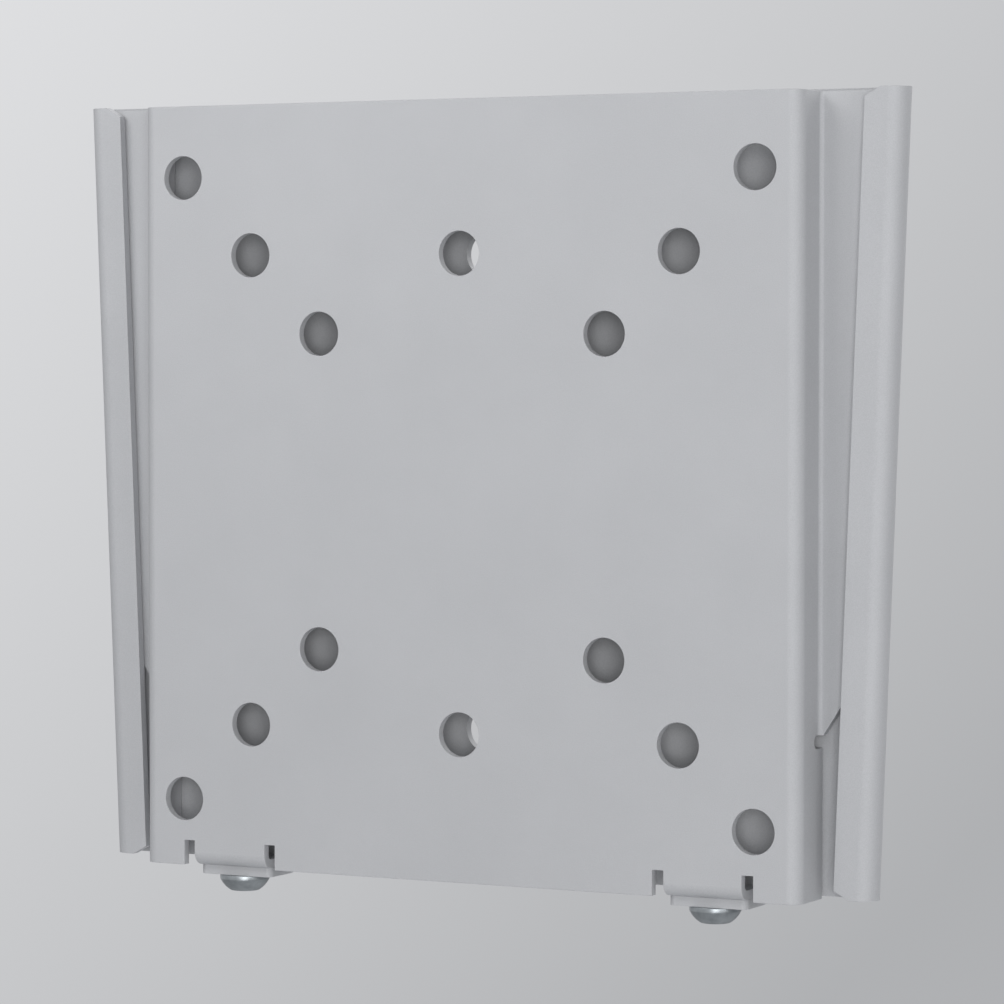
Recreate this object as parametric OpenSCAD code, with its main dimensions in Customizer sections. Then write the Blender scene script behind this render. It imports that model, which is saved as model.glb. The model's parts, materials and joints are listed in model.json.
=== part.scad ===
// Fixed wall mount for a monitor.
// A wall plate carries two folded rails that close in towards the bottom. A monitor
// plate slides down behind them on its two lips until its tabs sit on the wall
// plate's tabs, and two screws from below lock the tabs together.
// The origin is the centre of the hole pattern, on the wall. +X is right, +Z is up
// and the room is on the -Y side. Lengths are millimetres, angles are degrees.

/* [Sheet] */
// Thickness of the monitor plate's sheet
plate_t = 1.5; // [1.2:0.1:1.8]
// Thickness of the wall plate's sheet
wall_t = 1.5; // [1.2:0.1:1.8]
// Inside radius of every bend except the rails'
bend_r = 0.7; // [0.5:0.1:1.2]

/* [Monitor plate] */
// Width over the two side walls
plate_w = 115; // [110:0.5:117]
// Height of each plate
height = 122.2; // [118:0.2:150]
// How far the middle of the monitor plate lies above the hole pattern's centre
plate_rise = 0.4; // [0:0.1:1]
// Distance from the wall to the front of the monitor plate
profile = 11; // [10.5:0.5:16]

/* [Hole pattern] */
// Side of the outer square of monitor holes
square_outer = 100; // [96:1:102]
// Side of the middle square of monitor holes
square_middle = 75; // [70:1:80]
// Side of the inner square of monitor holes
square_inner = 50; // [40:1:60]
// Diameter of the holes in the monitor plate
plate_hole_d = 7; // [5:0.1:8]
// Distance between the two holes on the centre line, in both plates
centre_pitch = 75; // [60:1:90]
// Diameter of the wall plate's two screw holes
wall_hole_d = 7; // [5:0.1:9]

/* [Lips] */
// Gap in front of a lip and behind it, inside its rail
lip_play = 0.45; // [0.3:0.05:0.6]
// Gap between a lip's edge and the inside of its rail
side_play = 0.4; // [0.2:0.05:0.6]
// Height of the lips' lower end above the plate's bottom edge
lip_start = 25; // [15:1:40]
// Height of the slanted lead-in at the lower end of a lip
lead_h = 12.5; // [5:0.5:20]
// Width of the relief cut where a lip's bend ends
relief_w = 2; // [1:0.1:3]

/* [Wall plate] */
// Width over the rails at the top edge
wall_w_top = 143.4; // [140:0.2:150]
// Width over the rails at the bottom edge
wall_w_bottom = 134; // [131:0.2:136]
// How far the wall plate's edges lie above the monitor plate's
wall_shift = 0.4; // [0:0.1:1]
// Width of a rail's front lip, from the outside of its fold
rail_lip_w = 6.3; // [4:0.1:6.5]
// Width of the slanted corners of a rail's front lip
rail_corner_w = 2.5; // [1:0.1:3]
// Height of the slanted corners of a rail's front lip
rail_corner_h = 1.4; // [0.5:0.1:3]

/* [Tabs] */
// Distance between the middles of the two tabs on each plate
tab_pitch = 83.2; // [60:0.2:88]
// Width of the monitor plate's tabs
plate_tab_w = 13; // [11:0.5:14]
// Width of the wall plate's tabs
wall_tab_w = 13; // [11:0.5:14]
// Distance from the wall to the front of the wall plate's tabs
wall_tab_l = 9; // [8.6:0.1:10]
// Radius of the tabs' outer corners
tab_corner_r = 1; // [0.5:0.1:2]
// Width of the notches beside the tabs
notch_w = 1.9; // [1:0.1:2.5]
// Height of the notches beside the tabs
notch_h = 4; // [3:0.1:6]
// Gap between a monitor plate tab's end and the bend behind it
tab_end_play = 0.5; // [0.2:0.1:1]

/* [Lock screws] */
// Outside diameter of the thread
screw_d = 4; // [3:0.1:4.2]
// Length under the head
screw_l = 6; // [5:0.5:10]
// Distance from the wall to the screws' axes
screw_y = 6; // [5.5:0.1:6.2]
// Diameter of the head
head_d = 8; // [7.6:0.1:9]
// Height of the head
head_h = 2.6; // [2:0.1:2.9]
// Height of the straight rim of the head
head_rim = 0.7; // [0.3:0.1:1]
// Diameter of the flat round the recess
head_flat_d = 4.6; // [4.4:0.1:5]
// Diameter of the cross recess over its wings, at the flat
recess_d = 4.2; // [3.5:0.1:4.4]
// Diameter of the recess at its bottom
recess_tip_d = 1.6; // [1.2:0.1:2]
// Width of a wing of the recess
recess_wing_w = 1; // [0.8:0.05:1.1]
// Depth of the recess
recess_depth = 1.7; // [1:0.1:1.8]
// Gap round the thread in the monitor plate's tabs
thread_play = 0.1; // [0.05:0.01:0.15]
// Gap round the thread in the wall plate's tabs
clear_play = 0.2; // [0.15:0.05:0.5]

/* [Hidden] */
$fn = 96;

// Heights of the edges and of the stacked tabs
plate_bottom = plate_rise - height / 2;
plate_top = plate_bottom + height;
wall_bottom = plate_bottom + wall_shift;
wall_top = wall_bottom + height;
tab_under = plate_bottom - wall_t;
lip_bottom = plate_bottom + lip_start;

// Outside radii of the bends
plate_bend = bend_r + plate_t;
wall_bend = bend_r + wall_t;

// The rail is a half-round fold that leaves a slot for the lip
slot = plate_t + 2 * lip_play;
rail_inner_r = slot / 2;
rail_outer_r = rail_inner_r + wall_t;
rail_front = -2 * rail_outer_r;
rail_angle = atan((wall_w_top - wall_w_bottom) / 2 / height);

// The lip's back and front faces, and how far its edge lies inside the fold
lip_back = -(wall_t + lip_play);
lip_front = lip_back - plate_t;
lip_inset = rail_outer_r + side_play - sqrt(plate_t * lip_play + lip_play * lip_play);

// The monitor plate's tabs end just short of the wall plate's bends
plate_tab_l = profile - wall_bend - tab_end_play;

// Centre and radius of the ball that the screw head's dome is part of
dome_z = (pow(head_flat_d / 2, 2) + pow(head_h, 2) - pow(head_d / 2, 2) - pow(head_rim, 2))
    / 2 / (head_h - head_rim);
dome_r = norm([head_flat_d / 2, head_h - dome_z]);
tip_chamfer = screw_d / 10;

// Overshoot of cutting solids
cut = 1;

// Half the width over the rails at a height
function rail_out(z) = wall_w_bottom / 2 + (z - wall_bottom) * tan(rail_angle);

// X of a line that lies a given distance inside the rail's outer edge, at a height
function inside_rail(z, inset) = rail_out(z) - inset / cos(rail_angle);

// Section of a bend with its outer corner at the origin and legs along +X and +Y
module bend_section(t, leg_x, leg_y) {
    outer_r = bend_r + t;
    translate([outer_r, 0]) square([leg_x - outer_r, t]);
    translate([0, outer_r]) square([t, leg_y - outer_r]);
    difference() {
        intersection() {
            translate([outer_r, outer_r]) circle(r = outer_r);
            square(outer_r);
        }
        translate([outer_r, outer_r]) circle(r = bend_r);
    }
}

// Children drawn in X and Z, given thickness from y_back forward to y_front
module upright(y_back, y_front) {
    translate([0, y_back, 0]) rotate([90, 0, 0]) linear_extrude(y_back - y_front) children();
}

// Children drawn in Y and Z, given a width centred on x
module crosswise(x, w) {
    translate([x, 0, 0]) rotate([90, 0, 90]) linear_extrude(w, center = true) children();
}

// Children and their mirror image on the left
module both_sides() {
    children();
    mirror([1, 0, 0]) children();
}

// What is taken off a square corner at the origin to round it, tab on the +X +Y side
module corner_waste(r, h) {
    translate([0, 0, -cut]) linear_extrude(h + 2 * cut) difference() {
        translate([-cut, -cut]) square(r + cut);
        translate([r, r]) circle(r = r);
    }
}

// What rounds the two free corners of a tab, whose free edge is centred on the origin
module tab_corners(w, t) {
    both_sides() translate([-w / 2, 0, 0]) corner_waste(tab_corner_r, t);
}

// The two notches beside a tab and the strip between them, cleared for the tab's bend
module tab_clearing(w, y_back, y_front, z_low, z_high) {
    upright(y_back + cut, y_front - cut)
        translate([tab_pitch / 2 - w / 2 - notch_w, z_low - cut])
            square([w + 2 * notch_w, z_high - z_low + cut]);
}

// Screw hole through both tabs on the right
module tab_hole(d) {
    translate([tab_pitch / 2, -screw_y, tab_under - cut])
        cylinder(h = plate_bottom + plate_t + 2 * cut - tab_under, d = d);
}

// Holes at the corners of a square and through a sheet at any depth
module square_holes(side, d) {
    for (x = [-side / 2, side / 2], z = [-side / 2, side / 2])
        hole_along_y(x, z, d);
}

// The two holes on the centre line
module centre_holes(d) {
    for (z = [-centre_pitch / 2, centre_pitch / 2])
        hole_along_y(0, z, d);
}

module hole_along_y(x, z, d) {
    translate([x, cut, z]) rotate([90, 0, 0]) cylinder(h = profile + 2 * cut, d = d);
}

// Section of the right rail, with the outside of its fold at X = 0
module rail_section() {
    base_overlap = rail_lip_w;
    translate([-rail_outer_r, -rail_outer_r]) difference() {
        circle(r = rail_outer_r);
        circle(r = rail_inner_r);
        translate([-2 * rail_outer_r, -2 * rail_outer_r])
            square([2 * rail_outer_r, 4 * rail_outer_r]);
    }
    translate([-rail_outer_r - base_overlap, -wall_t]) square([base_overlap, wall_t]);
    translate([-rail_lip_w, rail_front]) square([rail_lip_w - rail_outer_r, wall_t]);
}

// Slanted corner at one end of the right rail's front lip, where up is 1 at the top
module rail_corner(z, up) {
    x = inside_rail(z, rail_lip_w);
    upright(rail_front + wall_t + rail_inner_r, rail_front - cut) polygon([
        [x + 2 * rail_corner_w, z + up * rail_corner_h],
        [x - rail_corner_w, z + up * rail_corner_h],
        [x - rail_corner_w, z - 2 * up * rail_corner_h],
    ]);
}

module right_rail() {
    rail_l = 2 * height;
    difference() {
        intersection() {
            translate([rail_out(0), 0, 0]) rotate([0, rail_angle, 0])
                linear_extrude(rail_l, center = true) rail_section();
            translate([0, rail_front - cut, wall_bottom])
                cube([wall_w_top, cut - rail_front + cut, height]);
        }
        rail_corner(wall_top, 1);
        rail_corner(wall_bottom, -1);
    }
}

module wall_base() {
    top_x = inside_rail(wall_top, rail_outer_r);
    bottom_x = inside_rail(wall_bottom, rail_outer_r);
    upright(0, -wall_t) polygon([
        [-bottom_x, wall_bottom], [bottom_x, wall_bottom], [top_x, wall_top], [-top_x, wall_top],
    ]);
}

// Right tab of the wall plate, folded forward under the monitor plate's tab
module wall_tab() {
    difference() {
        crosswise(tab_pitch / 2, wall_tab_w)
            translate([0, tab_under]) mirror([1, 0])
                bend_section(wall_t, wall_tab_l, wall_bottom + notch_h - tab_under);
        translate([tab_pitch / 2, -wall_tab_l, tab_under]) tab_corners(wall_tab_w, wall_t);
        tab_hole(screw_d + 2 * clear_play);
    }
}

module wall_plate() {
    color("silver") {
        difference() {
            wall_base();
            centre_holes(wall_hole_d);
            both_sides() tab_clearing(wall_tab_w, 0, -wall_t, wall_bottom, wall_bottom + notch_h);
        }
        both_sides() right_rail();
        both_sides() wall_tab();
    }
}

// Section of the right half of the monitor plate without its lip
module plate_section() {
    wall_l = profile + lip_front - bend_r;
    translate([plate_w / 2, -profile]) mirror([1, 0])
        bend_section(plate_t, plate_w / 2, wall_l);
}

// Right lip and its bend, with a tapered edge and a slanted lead-in
module right_lip() {
    lip_l = wall_w_top / 2 - plate_w / 2 + plate_t;
    edge_inset = lip_inset;
    lead_x = plate_w / 2 + bend_r;
    intersection() {
        translate([plate_w / 2 - plate_t, lip_back, lip_bottom]) mirror([0, 1, 0])
            linear_extrude(plate_top - lip_bottom)
                bend_section(plate_t, lip_l, plate_bend + plate_t);
        upright(0, -profile) polygon([
            [0, lip_bottom],
            [lead_x, lip_bottom],
            [inside_rail(lip_bottom + lead_h, edge_inset), lip_bottom + lead_h],
            [inside_rail(plate_top, edge_inset), plate_top],
            [0, plate_top],
        ]);
    }
}

// Rear edge of the side wall below the lip, down from a relief cut with a round end
module lower_edge() {
    bend_start = lip_front - bend_r;
    difference() {
        translate([plate_w / 2 - plate_t, bend_start - relief_w, plate_bottom])
            cube([plate_t, lip_back - bend_start + relief_w, lip_bottom - plate_bottom]);
        translate([plate_w / 2 - plate_t - cut, bend_start, lip_bottom - relief_w])
            cube([plate_t + 2 * cut, cut - bend_start, relief_w + cut]);
    }
}

// Round end of the relief cut, in the side wall
module relief_end() {
    translate([plate_w / 2 - plate_t - cut, lip_front - bend_r, lip_bottom - relief_w / 2])
        rotate([0, 90, 0]) cylinder(h = plate_t + 2 * cut, d = relief_w);
}

// Right tab of the monitor plate, folded back over the wall plate's tab
module plate_tab() {
    difference() {
        crosswise(tab_pitch / 2, plate_tab_w)
            translate([-profile, plate_bottom])
                bend_section(plate_t, plate_tab_l, notch_h);
        translate([tab_pitch / 2, plate_tab_l - profile, plate_bottom])
            rotate(180) tab_corners(plate_tab_w, plate_t);
        tab_hole(screw_d + 2 * thread_play);
    }
}

module monitor_plate() {
    color("lightgray") {
        difference() {
            union() {
                translate([0, 0, plate_bottom]) linear_extrude(height) both_sides() plate_section();
                both_sides() lower_edge();
            }
            for (side = [square_outer, square_middle, square_inner]) square_holes(side, plate_hole_d);
            centre_holes(plate_hole_d);
            both_sides() relief_end();
            both_sides() tab_clearing(plate_tab_w, plate_t - profile, -profile,
                plate_bottom, plate_bottom + notch_h);
        }
        both_sides() right_lip();
        both_sides() plate_tab();
    }
}

// Cutter for the cross recess in a head, from the recess's bottom up
module cross_recess() {
    wing_l = 2 * recess_d;
    depth = recess_depth + cut;
    flare = (recess_d - recess_tip_d) / recess_depth;
    intersection() {
        cylinder(h = depth, d1 = recess_tip_d, d2 = recess_tip_d + flare * depth);
        union() {
            translate([-wing_l / 2, -recess_wing_w / 2, 0]) cube([wing_l, recess_wing_w, depth]);
            translate([-recess_wing_w / 2, -wing_l / 2, 0]) cube([recess_wing_w, wing_l, depth]);
        }
    }
}

// Pan-head screw with its head's underside at the origin and its thread up
module lock_screw() {
    color("gainsboro") {
        cylinder(h = screw_l - tip_chamfer, d = screw_d);
        translate([0, 0, screw_l - tip_chamfer])
            cylinder(h = tip_chamfer, d1 = screw_d, d2 = screw_d - 2 * tip_chamfer);
        mirror([0, 0, 1]) difference() {
            intersection() {
                cylinder(h = head_h, d = head_d);
                translate([0, 0, dome_z]) sphere(r = dome_r);
            }
            translate([0, 0, head_h - recess_depth]) cross_recess();
        }
    }
}

module lock_screw_left() {
    translate([-tab_pitch / 2, -screw_y, tab_under]) lock_screw();
}

module lock_screw_right() {
    translate([tab_pitch / 2, -screw_y, tab_under]) lock_screw();
}

wall_plate();
monitor_plate();
lock_screw_left();
lock_screw_right();
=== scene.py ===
"""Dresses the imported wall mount: powder-coated sheets with eased edges, and plated lock screws
with a real thread, under the photo's camera."""
import json
import math

import bmesh
import bpy
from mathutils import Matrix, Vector

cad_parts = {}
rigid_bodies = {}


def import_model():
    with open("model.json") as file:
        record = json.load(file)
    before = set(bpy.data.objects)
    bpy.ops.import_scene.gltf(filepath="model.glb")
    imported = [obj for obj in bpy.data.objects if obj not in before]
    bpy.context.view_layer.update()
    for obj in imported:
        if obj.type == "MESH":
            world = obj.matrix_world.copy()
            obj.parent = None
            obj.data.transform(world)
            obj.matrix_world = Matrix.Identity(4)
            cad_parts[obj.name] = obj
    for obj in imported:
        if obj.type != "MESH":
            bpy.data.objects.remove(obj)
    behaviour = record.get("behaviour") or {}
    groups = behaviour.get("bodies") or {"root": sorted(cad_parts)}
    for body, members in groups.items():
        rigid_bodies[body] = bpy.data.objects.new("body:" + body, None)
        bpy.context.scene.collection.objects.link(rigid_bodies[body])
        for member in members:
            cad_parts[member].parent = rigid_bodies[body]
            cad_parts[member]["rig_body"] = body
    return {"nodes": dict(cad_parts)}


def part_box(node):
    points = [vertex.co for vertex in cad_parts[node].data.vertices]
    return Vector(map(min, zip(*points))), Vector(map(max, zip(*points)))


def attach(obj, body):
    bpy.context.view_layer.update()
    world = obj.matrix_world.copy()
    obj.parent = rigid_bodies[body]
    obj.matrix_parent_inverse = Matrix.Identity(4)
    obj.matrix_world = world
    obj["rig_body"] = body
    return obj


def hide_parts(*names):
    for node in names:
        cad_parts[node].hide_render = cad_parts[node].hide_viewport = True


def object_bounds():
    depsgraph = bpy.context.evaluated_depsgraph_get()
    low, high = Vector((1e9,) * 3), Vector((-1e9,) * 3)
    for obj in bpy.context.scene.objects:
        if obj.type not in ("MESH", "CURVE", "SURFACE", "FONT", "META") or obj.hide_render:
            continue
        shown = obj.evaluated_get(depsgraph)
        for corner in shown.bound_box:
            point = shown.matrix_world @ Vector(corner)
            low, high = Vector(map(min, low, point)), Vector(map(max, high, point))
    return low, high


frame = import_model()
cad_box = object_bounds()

MM = 0.001

# The photo's camera, fitted to the fourteen holes, in the part's frame
CAMERA_PLACE = Vector((0.30498, -0.59558, 0.02493))
CAMERA_YAW = math.radians(27.55)
CAMERA_PITCH = math.radians(-2.12)
# The photo's width, focal length and optical axis, in its pixels
PHOTO_SIZE = 1004
PHOTO_FOCAL = 1177.7
PHOTO_AXIS = (459, 500)
# The mount is small in the photo, so the render takes this part of it, enlarged
VIEW_CENTRE = (471, 503)
VIEW_ZOOM = 3.6
# Width of the camera's sensor in Blender's own millimetres
SENSOR = 36

# Sheets: the rounding of their cut edges, the faces across it and the angle that counts as sharp
EDGE_RADIUS = 0.2 * MM
EDGE_STEPS = 2
SHARP_ANGLE = math.radians(25)
# Faces that lie flatter than this to each other are one, and points closer than this are one
FLAT_ANGLE = math.radians(0.2)
WELD = 0.001 * MM

# Lock screws: a rolled M4 thread with a coned tip, in place of the CAD's plain shank
SCREW_R = 2.0 * MM
SCREW_LENGTH = 6.0 * MM
HEAD_HEIGHT = 2.6 * MM
HEAD_EDGE = 0.08 * MM
THREAD_PITCH = 0.7 * MM
THREAD_DEPTH = 0.43 * MM
# How far the crest stays inside the nominal radius
THREAD_PLAY = 0.02 * MM
# How far the thread's foot reaches into the head
THREAD_ROOTED = 0.3 * MM
# Widths of the flat crest and the flat root, as shares of the pitch
CREST_SHARE = 0.2
ROOT_SHARE = 0.25
TIP_CHAMFER = 0.4 * MM
# Points round one turn of the thread, and along one pitch
TURN_STEPS = 48
PROFILE_STEPS = 12
# Turns that the strip has to spare, and how many of them lie below its foot, to be cut off
SPARE_TURNS = 5
TURNS_BELOW = 2

# Colours are linear
PAINT_LIGHT = (0.476, 0.482, 0.498)
PAINT_DARK = (0.424, 0.430, 0.445)
ZINC_LIGHT = (0.33, 0.352, 0.365)
ZINC_DARK = (0.24, 0.258, 0.27)
FLOOR_COLOUR = (0.85, 0.86, 0.88)
STUDIO_COLOUR = (0.97, 0.98, 1)
BACKDROP_LIGHT = (0.77, 0.775, 0.79)
BACKDROP_DARK = (0.43, 0.437, 0.45)

# Powder coat: each scale is in features per metre
MOTTLING_SCALE = 60
FLAKE_SCALE = 7000
PEEL_SCALE = 1100
GRAIN_SCALE = 5200
# The flake's share in the colour, where the mottling has the rest
FLAKE_SHARE = 0.75
# Where in the mixed noise's range the dark colour ends and the light one starts
PAINT_STOPS = (0.35, 0.65)
PAINT_ROUGHNESS = (0.62, 0.74)
PAINT_METALLIC = 0.1
# Strength and height of each bump
PEEL_BUMP = (0.35, 0.04 * MM)
GRAIN_BUMP = (0.5, 0.025 * MM)

# Zinc plate, stated in the same way
CLOUDING_SCALE = 700
MARKS_SCALE = 9000
ZINC_STOPS = (0.3, 0.7)
ZINC_ROUGHNESS = (0.36, 0.46)
MARKS_BUMP = (0.1, 0.01 * MM)

# Floor: a disc this far below the mount, wide enough to fill the view from above
FLOOR_DEPTH = 0.6
FLOOR_RADIUS = 1.6
FLOOR_SIDES = 96
FLOOR_ROUGHNESS = 0.8

# Lamps: each one's place, its width in metres and its power in watts
LAMPS = {
    "front": ((0.69, -1.33, 0.06), 0.6, 10.3),
    "key": ((-0.12, -0.25, 0.23), 0.18, 0.48),
    "fill": ((0.8, -0.35, 0.1), 0.35, 1.2),
    "back": ((0.2, 0.9, 0.6), 0.8, 9),
}
STUDIO_STRENGTH = 0.255

# The backdrop brightens over this span towards the photo's upper left
BACKDROP_SPAN = 0.17


def new_material(name):
    """A node material with its tree and its Principled shader."""
    material = bpy.data.materials.new(name)
    material.use_nodes = True
    return material, material.node_tree, material.node_tree.nodes["Principled BSDF"]


def noise(tree, scale, detail, roughness=0.5):
    """A noise texture in object space, where scale is features per metre."""
    place = tree.nodes.new("ShaderNodeTexCoord")
    texture = tree.nodes.new("ShaderNodeTexNoise")
    texture.inputs["Scale"].default_value = scale
    texture.inputs["Detail"].default_value = detail
    texture.inputs["Roughness"].default_value = roughness
    tree.links.new(place.outputs["Object"], texture.inputs["Vector"])
    return texture.outputs["Fac"]


def ramp(tree, factor, stops, first, last):
    """A two-colour ramp of a factor between two stops."""
    node = tree.nodes.new("ShaderNodeValToRGB")
    for element, stop, colour in zip(node.color_ramp.elements, stops, (first, last)):
        element.position = stop
        element.color = (*colour, 1)
    tree.links.new(factor, node.inputs["Fac"])
    return node.outputs["Color"]


def spread(tree, factor, low, high):
    """A factor mapped from 0..1 to low..high."""
    node = tree.nodes.new("ShaderNodeMapRange")
    node.inputs["To Min"].default_value = low
    node.inputs["To Max"].default_value = high
    tree.links.new(factor, node.inputs["Value"])
    return node.outputs["Result"]


def combine(tree, operation, first, second):
    """The result of a Math node on two factors."""
    node = tree.nodes.new("ShaderNodeMath")
    node.operation = operation
    tree.links.new(first, node.inputs[0])
    tree.links.new(second, node.inputs[1])
    return node.outputs[0]


def bump(tree, height, strength, distance, normal=None):
    """A bump of a height, on top of another bump if one is given."""
    node = tree.nodes.new("ShaderNodeBump")
    node.inputs["Strength"].default_value = strength
    node.inputs["Distance"].default_value = distance
    tree.links.new(height, node.inputs["Height"])
    if normal:
        tree.links.new(normal, node.inputs["Normal"])
    return node.outputs["Normal"]


def powder_coat():
    """Silver-grey powder coat: faint mottling, fine metal flake, orange peel and grain."""
    material, tree, shader = new_material("powder_coat")
    mottling = noise(tree, MOTTLING_SCALE, detail=4)
    flake = noise(tree, FLAKE_SCALE, detail=1)
    flake_part = spread(tree, flake, 0, FLAKE_SHARE)
    mottling_part = spread(tree, mottling, 0, 1 - FLAKE_SHARE)
    mixed = combine(tree, "ADD", flake_part, mottling_part)
    tree.links.new(ramp(tree, mixed, PAINT_STOPS, PAINT_DARK, PAINT_LIGHT), shader.inputs["Base Color"])
    shader.inputs["Metallic"].default_value = PAINT_METALLIC
    peel = noise(tree, PEEL_SCALE, detail=2)
    grain = noise(tree, GRAIN_SCALE, detail=2, roughness=0.7)
    tree.links.new(spread(tree, grain, *PAINT_ROUGHNESS), shader.inputs["Roughness"])
    peel_normal = bump(tree, peel, *PEEL_BUMP)
    tree.links.new(bump(tree, grain, *GRAIN_BUMP, peel_normal), shader.inputs["Normal"])
    return material


def zinc_plate():
    """Zinc plating with faint clouding and fine turning marks."""
    material, tree, shader = new_material("zinc_plate")
    clouding = noise(tree, CLOUDING_SCALE, detail=3)
    tree.links.new(ramp(tree, clouding, ZINC_STOPS, ZINC_DARK, ZINC_LIGHT), shader.inputs["Base Color"])
    tree.links.new(spread(tree, clouding, *ZINC_ROUGHNESS), shader.inputs["Roughness"])
    shader.inputs["Metallic"].default_value = 1.0
    marks = noise(tree, MARKS_SCALE, detail=2)
    tree.links.new(bump(tree, marks, *MARKS_BUMP), shader.inputs["Normal"])
    return material


def add_object(name, form):
    """A form as an object in the scene."""
    mesh = bpy.data.meshes.new(name)
    form.to_mesh(mesh)
    form.free()
    added = bpy.data.objects.new(name, mesh)
    bpy.context.scene.collection.objects.link(added)
    return added


def add_piece(name, form, material, node):
    """A finished form as a piece that stands for a CAD node."""
    for face in form.faces:
        face.smooth = True
    piece = add_object(name, form)
    piece.data.materials.append(material)
    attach(piece, frame["nodes"][node]["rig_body"])
    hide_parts(node)
    normals = piece.modifiers.new("flat_faces", "WEIGHTED_NORMAL")
    normals.keep_sharp = True
    return piece


def clean_form(node):
    """The CAD node's own form, welded and with its flat faces whole."""
    form = bmesh.new()
    form.from_mesh(frame["nodes"][node].data)
    bmesh.ops.remove_doubles(form, verts=form.verts, dist=WELD)
    bmesh.ops.dissolve_limit(form, angle_limit=FLAT_ANGLE, verts=form.verts, edges=form.edges)
    return form


def ease_edges(form, radius):
    """Rounds every sharp edge of a form."""
    sharp = [edge for edge in form.edges if edge.calc_face_angle(0) > SHARP_ANGLE]
    bmesh.ops.bevel(form, geom=sharp, offset=radius, segments=EDGE_STEPS, profile=0.5,
                    affect="EDGES", clamp_overlap=True)


def folded_sheet(name, node, material):
    """The CAD node's own form with its cut edges eased, as a coated sheet has them."""
    form = clean_form(node)
    ease_edges(form, EDGE_RADIUS)
    return add_piece(name, form, material, node)


def thread_radius(share):
    """Radius of the thread at a share of its pitch, from the middle of a crest."""
    from_crest = abs(share - round(share))
    fall = (from_crest - CREST_SHARE / 2) / (0.5 - CREST_SHARE / 2 - ROOT_SHARE / 2)
    return SCREW_R - THREAD_PLAY - THREAD_DEPTH * min(max(fall, 0), 1)


def tip_radius(height):
    """Largest radius that the coned tip leaves at a height."""
    return SCREW_R - THREAD_PLAY - max(height - SCREW_LENGTH + TIP_CHAMFER, 0)


def close_level(form, height):
    """Closes the open rim that a form has at a height."""
    rim = [edge for edge in form.edges
           if edge.is_boundary and all(abs(vert.co.z - height) < WELD for vert in edge.verts)]
    bmesh.ops.contextual_create(form, geom=rim)


def cut_level(form, height, side):
    """Cuts a form level at a height, drops what is above (1) or below (-1) and closes the cut."""
    bmesh.ops.bisect_plane(form, geom=form.verts[:] + form.edges[:] + form.faces[:], dist=WELD,
                           plane_co=(0, 0, height), plane_no=(0, 0, side), clear_outer=True)
    close_level(form, height)


def threaded_shank():
    """One right-handed thread as a spiral strip round the Z axis, its foot just inside the head."""
    form = bmesh.new()
    turns = math.ceil((SCREW_LENGTH + THREAD_ROOTED) / THREAD_PITCH) + SPARE_TURNS
    start = -THREAD_ROOTED - TURNS_BELOW * THREAD_PITCH
    rows = turns * PROFILE_STEPS

    def point(turn_step, row):
        angle = 2 * math.pi * turn_step / TURN_STEPS
        height = start + THREAD_PITCH * (turn_step / TURN_STEPS + row / PROFILE_STEPS)
        radius = min(thread_radius(row / PROFILE_STEPS), tip_radius(height))
        return Vector((radius * math.cos(angle), radius * math.sin(angle), height))

    grid = [[form.verts.new(point(step, row)) for row in range(rows)] for step in range(TURN_STEPS)]
    # A full turn later the strip meets itself one pitch higher
    grid.append(grid[0][PROFILE_STEPS:])
    for here, there in zip(grid, grid[1:]):
        for row in range(rows - PROFILE_STEPS - 1):
            form.faces.new((here[row], there[row], there[row + 1], here[row + 1]))
    loose = [vert for vert in form.verts if not vert.link_faces]
    bmesh.ops.delete(form, geom=loose, context="VERTS")
    cut_level(form, -THREAD_ROOTED, -1)
    cut_level(form, SCREW_LENGTH, 1)
    return form


def bare_head(node):
    """The CAD screw's own head with its edges eased, and the middle of the face under its shank."""
    head = clean_form(node)
    low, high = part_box(node)
    foot = Vector(((low.x + high.x) / 2, (low.y + high.y) / 2, low.z + HEAD_HEIGHT))
    above = [vert for vert in head.verts if vert.co.z > foot.z + WELD]
    bmesh.ops.delete(head, geom=above, context="VERTS")
    close_level(head, foot.z)
    ease_edges(head, HEAD_EDGE)
    return head, foot


def lock_screw(name, node, material):
    """The CAD screw's own head on a shank with a real thread."""
    screw, foot = bare_head(node)
    shank = threaded_shank()
    bmesh.ops.translate(shank, vec=foot, verts=shank.verts)
    joined = bpy.data.meshes.new("shank")
    shank.to_mesh(joined)
    shank.free()
    screw.from_mesh(joined)
    bpy.data.meshes.remove(joined)
    return add_piece(name, screw, material, node)


def make_camera():
    """The photo's camera with a longer lens, shifted by what the framing needs."""
    data = bpy.data.cameras.new("photo_camera")
    camera = bpy.data.objects.new("photo_camera", data)
    bpy.context.scene.collection.objects.link(camera)
    bpy.context.scene.camera = camera
    data.sensor_width = SENSOR
    data.lens = PHOTO_FOCAL * VIEW_ZOOM / PHOTO_SIZE * SENSOR
    data.shift_x = (VIEW_CENTRE[0] - PHOTO_AXIS[0]) * VIEW_ZOOM / PHOTO_SIZE
    data.shift_y = (PHOTO_AXIS[1] - VIEW_CENTRE[1]) * VIEW_ZOOM / PHOTO_SIZE
    camera.location = CAMERA_PLACE
    camera.rotation_euler = (math.radians(90) + CAMERA_PITCH, 0, CAMERA_YAW)


def make_floor():
    """A pale disc well below the mount."""
    form = bmesh.new()
    bmesh.ops.create_circle(form, cap_ends=True, segments=FLOOR_SIDES, radius=FLOOR_RADIUS)
    floor = add_object("floor", form)
    floor.location = (0, 0, cad_box[0].z - FLOOR_DEPTH)
    material, _, shader = new_material("floor_paint")
    shader.inputs["Base Color"].default_value = (*FLOOR_COLOUR, 1)
    shader.inputs["Roughness"].default_value = FLOOR_ROUGHNESS
    floor.data.materials.append(material)


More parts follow.
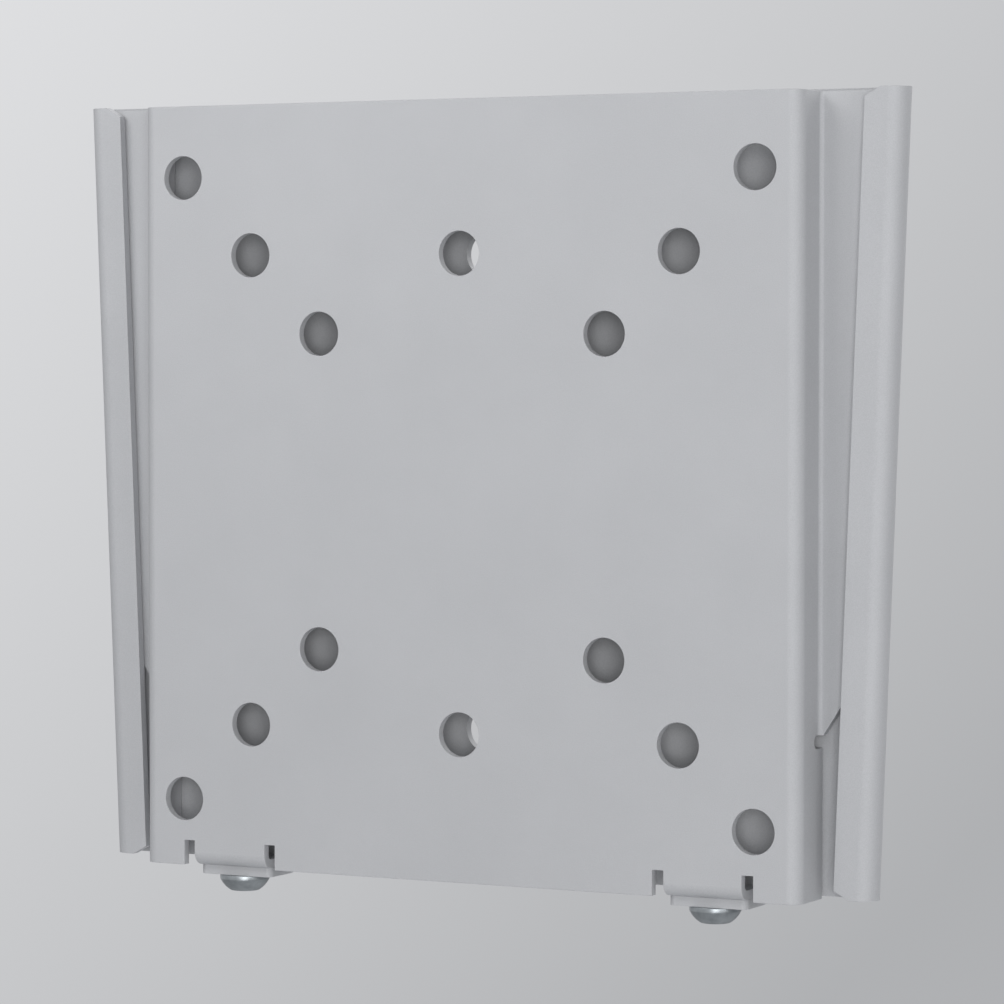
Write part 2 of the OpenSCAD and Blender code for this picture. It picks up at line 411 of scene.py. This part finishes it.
def area_light(name, place, target, size, power):
    """A square lamp that faces a target and doesn't show in the picture itself."""
    data = bpy.data.lights.new(name, "AREA")
    data.shape = "SQUARE"
    data.size = size
    data.energy = power
    light = bpy.data.objects.new(name, data)
    bpy.context.scene.collection.objects.link(light)
    light.visible_camera = False
    light.location = place
    light.rotation_euler = (Vector(target) - Vector(place)).to_track_quat("-Z", "Y").to_euler()


def make_lamps():
    """Soft lamps that face the middle of the mount."""
    middle = (cad_box[0] + cad_box[1]) / 2
    for name, (place, size, power) in LAMPS.items():
        area_light(name, place, middle, size, power)


def backdrop_colour(tree):
    """A pale colour by direction alone, brighter towards the photo's upper left."""
    place = tree.nodes.new("ShaderNodeTexCoord")
    towards = tree.nodes.new("ShaderNodeVectorMath")
    towards.operation = "DOT_PRODUCT"
    upper_left = Vector((-math.cos(CAMERA_YAW), -math.sin(CAMERA_YAW), 1)).normalized()
    towards.inputs[1].default_value = upper_left
    tree.links.new(place.outputs["Generated"], towards.inputs[0])
    span = tree.nodes.new("ShaderNodeMapRange")
    span.inputs["From Min"].default_value = -BACKDROP_SPAN
    span.inputs["From Max"].default_value = BACKDROP_SPAN
    tree.links.new(towards.outputs["Value"], span.inputs["Value"])
    return ramp(tree, span.outputs["Result"], (0, 1), BACKDROP_DARK, BACKDROP_LIGHT)


def make_world():
    """Soft even light, with a pale backdrop in it for the camera, for reflections and through glass."""
    world = bpy.data.worlds.new("studio")
    bpy.context.scene.world = world
    world.use_nodes = True
    tree = world.node_tree
    tree.nodes.clear()
    output = tree.nodes.new("ShaderNodeOutputWorld")
    light = tree.nodes.new("ShaderNodeBackground")
    light.inputs["Color"].default_value = (*STUDIO_COLOUR, 1)
    light.inputs["Strength"].default_value = STUDIO_STRENGTH
    seen = tree.nodes.new("ShaderNodeBackground")
    tree.links.new(backdrop_colour(tree), seen.inputs["Color"])
    ray = tree.nodes.new("ShaderNodeLightPath").outputs
    looking = ray["Is Camera Ray"]
    for kind in ("Is Glossy Ray", "Is Transmission Ray"):
        looking = combine(tree, "MAXIMUM", looking, ray[kind])
    mix = tree.nodes.new("ShaderNodeMixShader")
    for number, source in enumerate((looking, light.outputs[0], seen.outputs[0])):
        tree.links.new(source, mix.inputs[number])
    tree.links.new(mix.outputs[0], output.inputs["Surface"])


paint = powder_coat()
zinc = zinc_plate()
folded_sheet("wall_plate_sheet", "wall_plate", paint)
folded_sheet("monitor_plate_sheet", "monitor_plate", paint)
lock_screw("left_threaded_screw", "lock_screw_left", zinc)
lock_screw("right_threaded_screw", "lock_screw_right", zinc)
make_camera()
make_floor()
make_lamps()
make_world()
bpy.context.scene.view_settings.view_transform = "Standard"
